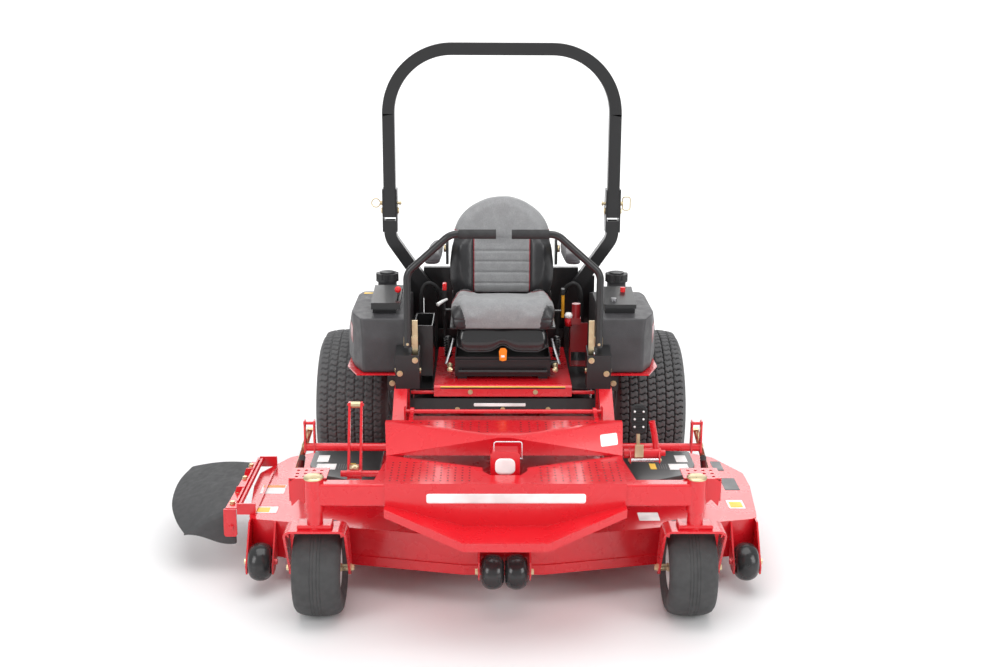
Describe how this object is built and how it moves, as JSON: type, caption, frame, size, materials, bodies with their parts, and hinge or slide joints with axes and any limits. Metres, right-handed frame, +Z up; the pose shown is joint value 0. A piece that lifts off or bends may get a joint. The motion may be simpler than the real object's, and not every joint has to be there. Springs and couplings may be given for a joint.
{
  "type": "zero turn mower",
  "caption": "Ride-on zero turn mower: wide side-discharge deck, twin steering levers, folding roll bar, suspension seat and swivel front casters.",
  "frame": {"origin": "on the ground under the middle of the machine's whole outline, chute included", "axes": "+Z up, the machine faces -Y, +X is towards its left side"},
  "size_m": [2.238, 2.143, 1.895],
  "materials": {
    "black_paint": "satin",
    "black_plastic": "matte, lightly textured",
    "cast_metal": "as cast",
    "red_paint": "gloss",
    "rim_paint": "satin",
    "roller_plastic": "smooth",
    "rubber": "matte",
    "seat_vinyl": "soft grained vinyl",
    "steel": "satin",
    "tyre": "matte",
    "zinc": "yellow-passivated zinc"
  },
  "bodies": {
    "chassis": {"main_frame": "red_paint", "front_nose": "red_paint", "footplate_catch": "red_paint", "lever_towers": "black_paint", "fuel_tank_left": "black_plastic", "fuel_tank_right": "black_plastic", "tank_brackets": "red_paint", "control_consoles": "black_paint", "rops_base": "black_paint", "engine_block": "cast_metal", "engine_shroud": "black_plastic", "muffler": "steel", "rear_guard": "black_paint", "hydraulic_drives": "cast_metal", "battery": "black_plastic", "hydraulic_hoses": "rubber", "fasteners": "zinc"},
    "footplate": {"footplate": "red_paint"},
    "brake_pedal": {"brake_pedal": "red_paint"},
    "deck_lift_pedal": {"deck_lift_pedal": "red_paint"},
    "throttle_lever": {"throttle_lever": "black_plastic"},
    "clutch_pulley": {"clutch_pulley": "steel"},
    "roll_bar": {"rops_hoop": "black_paint", "rops_lock_pins": "zinc"},
    "seat_platform": {"seat_deck": "red_paint"},
    "seat_slider": {"seat_slide": "black_paint"},
    "seat_top": {"seat_pan": "black_plastic", "seat_cushion": "seat_vinyl"},
    "seat_back": {"seat_back": "seat_vinyl"},
    "deck": {"deck_shell": "red_paint", "belt_covers": "black_paint", "spindle_housings": "cast_metal", "drive_belt": "rubber", "roller_brackets": "red_paint", "deck_links": "zinc"},
    "chute": {"chute_frame": "red_paint", "chute_flap": "rubber"},
    "drive_wheel_left": {"drive_tyre_left": "tyre", "drive_rim_left": "rim_paint"},
    "caster_fork_left": {"caster_fork_left": "red_paint"},
    "caster_wheel_left": {"caster_wheel_left": "tyre"},
    "lever_hub_left": {"lever_hub_left": "zinc"},
    "steering_lever_left": {"steering_lever_left": "black_paint"},
    "armrest_left": {"armrest_left": "seat_vinyl"},
    "fuel_cap_left": {"fuel_cap_left": "black_plastic"},
    "front_roller_left": {"front_roller_left": "roller_plastic"},
    "side_roller_left": {"side_roller_left": "roller_plastic"},
    "drive_wheel_right": {"drive_tyre_right": "tyre", "drive_rim_right": "rim_paint"},
    "caster_fork_right": {"caster_fork_right": "red_paint"},
    "caster_wheel_right": {"caster_wheel_right": "tyre"},
    "lever_hub_right": {"lever_hub_right": "zinc"},
    "steering_lever_right": {"steering_lever_right": "black_paint"},
    "armrest_right": {"armrest_right": "seat_vinyl"},
    "fuel_cap_right": {"fuel_cap_right": "black_plastic"},
    "front_roller_right": {"front_roller_right": "roller_plastic"},
    "side_roller_right": {"side_roller_right": "roller_plastic"},
    "blade_left": {"blade_spindle_left": "steel"},
    "blade_centre": {"blade_spindle_centre": "steel"},
    "blade_right": {"blade_spindle_right": "steel"}
  },
  "joints": [
    {"name": "footplate_hinge", "type": "hinge", "parent": "chassis", "child": "footplate", "pos_m": [0.158, -0.3895, 0.592], "axis": [-1, 0, 0], "range_deg": [0, 70]},
    {"name": "brake_pedal_hinge", "type": "hinge", "parent": "chassis", "child": "brake_pedal", "pos_m": [0.662, -0.4995, 0.47], "axis": [1, 0, 0], "range_deg": [0, 18], "stiffness_Nm_per_rad": 12, "springref_deg": -20.05},
    {"name": "roll_bar_fold", "type": "hinge", "parent": "chassis", "child": "roll_bar", "pos_m": [0.158, 0.4855, 1.198], "axis": [-1, 0, 0], "range_deg": [0, 105]},
    {"name": "throttle_hinge", "type": "hinge", "parent": "chassis", "child": "throttle_lever", "pos_m": [-0.25, -0.0365, 0.935], "axis": [1, 0, 0], "range_deg": [-22, 22]},
    {"name": "deck_lift", "type": "slide", "parent": "chassis", "child": "deck", "axis": [0, 0, 1], "range_m": [0, 0.05]},
    {"name": "lift_pedal_hinge", "type": "hinge", "parent": "chassis", "child": "deck_lift_pedal", "pos_m": [-0.366, -0.6795, 0.46], "axis": [1, 0, 0], "range_deg": [0, 22]},
    {"name": "seat_platform_tilt", "type": "hinge", "parent": "chassis", "child": "seat_platform", "pos_m": [0.158, -0.1795, 0.6], "axis": [1, 0, 0], "range_deg": [0, 24]},
    {"name": "seat_slide_adjust", "type": "slide", "parent": "seat_platform", "child": "seat_slider", "axis": [0, -1, 0], "range_m": [-0.06, 0.06]},
    {"name": "seat_suspension", "type": "slide", "parent": "seat_slider", "child": "seat_top", "axis": [0, 0, 1], "range_m": [-0.04, 0], "stiffness_N_per_m": 9000, "springref_m": 0.06},
    {"name": "seat_back_recline", "type": "hinge", "parent": "seat_top", "child": "seat_back", "pos_m": [0.158, 0.2955, 0.88], "axis": [-1, 0, 0], "range_deg": [0, 12]},
    {"name": "discharge_chute_hinge", "type": "hinge", "parent": "deck", "child": "chute", "pos_m": [-0.808, -0.2795, 0.27], "axis": [0, 1, 0], "range_deg": [0, 85]},
    {"name": "drive_wheel_left_spin", "type": "hinge", "parent": "chassis", "child": "drive_wheel_left", "pos_m": [0.7905, 0.5105, 0.33], "axis": [1, 0, 0], "continuous": true},
    {"name": "caster_left_swivel", "type": "hinge", "parent": "chassis", "child": "caster_fork_left", "pos_m": [0.794, -0.8995, 0.45], "axis": [0, 0, 1], "continuous": true},
    {"name": "caster_left_spin", "type": "hinge", "parent": "caster_fork_left", "child": "caster_wheel_left", "pos_m": [0.794, -0.8095, 0.165], "axis": [1, 0, 0], "continuous": true},
    {"name": "steering_left_drive", "type": "hinge", "parent": "chassis", "child": "lever_hub_left", "pos_m": [0.518, -0.2215, 0.7], "axis": [1, 0, 0], "range_deg": [-12, 15]},
    {"name": "steering_left_swing_out", "type": "hinge", "parent": "lever_hub_left", "child": "steering_lever_left", "pos_m": [0.518, -0.24, 0.812], "axis": [0, 1, 0], "range_deg": [0, 30]},
    {"name": "armrest_left_fold", "type": "hinge", "parent": "seat_back", "child": "armrest_left", "pos_m": [0.438, 0.3455, 1.062], "axis": [-1, 0, 0], "range_deg": [0, 80]},
    {"name": "fuel_cap_left_turn", "type": "hinge", "parent": "chassis", "child": "fuel_cap_left", "pos_m": [0.626, 0.2105, 0.96], "axis": [0, 0, 1], "range_deg": [0, 120]},
    {"name": "front_roller_left_spin", "type": "hinge", "parent": "deck", "child": "front_roller_left", "pos_m": [0.199, -0.8015, 0.144], "axis": [1, 0, 0], "continuous": true},
    {"name": "side_roller_left_spin", "type": "hinge", "parent": "deck", "child": "side_roller_left", "pos_m": [1.03, -0.6515, 0.112], "axis": [1, 0, 0], "continuous": true},
    {"name": "drive_wheel_right_spin", "type": "hinge", "parent": "chassis", "child": "drive_wheel_right", "pos_m": [-0.4745, 0.5105, 0.33], "axis": [1, 0, 0], "continuous": true},
    {"name": "caster_right_swivel", "type": "hinge", "parent": "chassis", "child": "caster_fork_right", "pos_m": [-0.478, -0.8995, 0.45], "axis": [0, 0, 1], "continuous": true},
    {"name": "caster_right_spin", "type": "hinge", "parent": "caster_fork_right", "child": "caster_wheel_right", "pos_m": [-0.478, -0.8095, 0.165], "axis": [1, 0, 0], "continuous": true},
    {"name": "steering_right_drive", "type": "hinge", "parent": "chassis", "child": "lever_hub_right", "pos_m": [-0.202, -0.2215, 0.7], "axis": [1, 0, 0], "range_deg": [-12, 15]},
    {"name": "steering_right_swing_out", "type": "hinge", "parent": "lever_hub_right", "child": "steering_lever_right", "pos_m": [-0.202, -0.24, 0.812], "axis": [0, -1, 0], "range_deg": [0, 30]},
    {"name": "armrest_right_fold", "type": "hinge", "parent": "seat_back", "child": "armrest_right", "pos_m": [-0.122, 0.3455, 1.062], "axis": [-1, 0, 0], "range_deg": [0, 80]},
    {"name": "fuel_cap_right_turn", "type": "hinge", "parent": "chassis", "child": "fuel_cap_right", "pos_m": [-0.31, 0.2105, 0.96], "axis": [0, 0, 1], "range_deg": [0, 120]},
    {"name": "front_roller_right_spin", "type": "hinge", "parent": "deck", "child": "front_roller_right", "pos_m": [0.117, -0.8015, 0.144], "axis": [1, 0, 0], "continuous": true},
    {"name": "side_roller_right_spin", "type": "hinge", "parent": "deck", "child": "side_roller_right", "pos_m": [-0.714, -0.6515, 0.112], "axis": [1, 0, 0], "continuous": true},
    {"name": "blade_left_spin", "type": "hinge", "parent": "deck", "child": "blade_left", "pos_m": [0.758, -0.2095, 0.2], "axis": [0, 0, 1], "continuous": true},
    {"name": "blade_centre_spin", "type": "hinge", "parent": "deck", "child": "blade_centre", "pos_m": [0.158, -0.4015, 0.2], "axis": [0, 0, 1], "continuous": true},
    {"name": "blade_right_spin", "type": "hinge", "parent": "deck", "child": "blade_right", "pos_m": [-0.442, -0.2095, 0.2], "axis": [0, 0, 1], "continuous": true},
    {"name": "clutch_pulley_spin", "type": "hinge", "parent": "chassis", "child": "clutch_pulley", "pos_m": [0.158, 0.7305, 0.35], "axis": [0, 0, 1], "continuous": true}
  ],
  "couplings": [
    {"joint": "blade_left_spin", "follows": "blade_centre_spin", "ratio": 1},
    {"joint": "blade_right_spin", "follows": "blade_centre_spin", "ratio": 1},
    {"joint": "clutch_pulley_spin", "follows": "blade_centre_spin", "ratio": 1.1},
    {"joint": "lift_pedal_hinge", "follows": "deck_lift", "rad_per_m": 7}
  ]
}
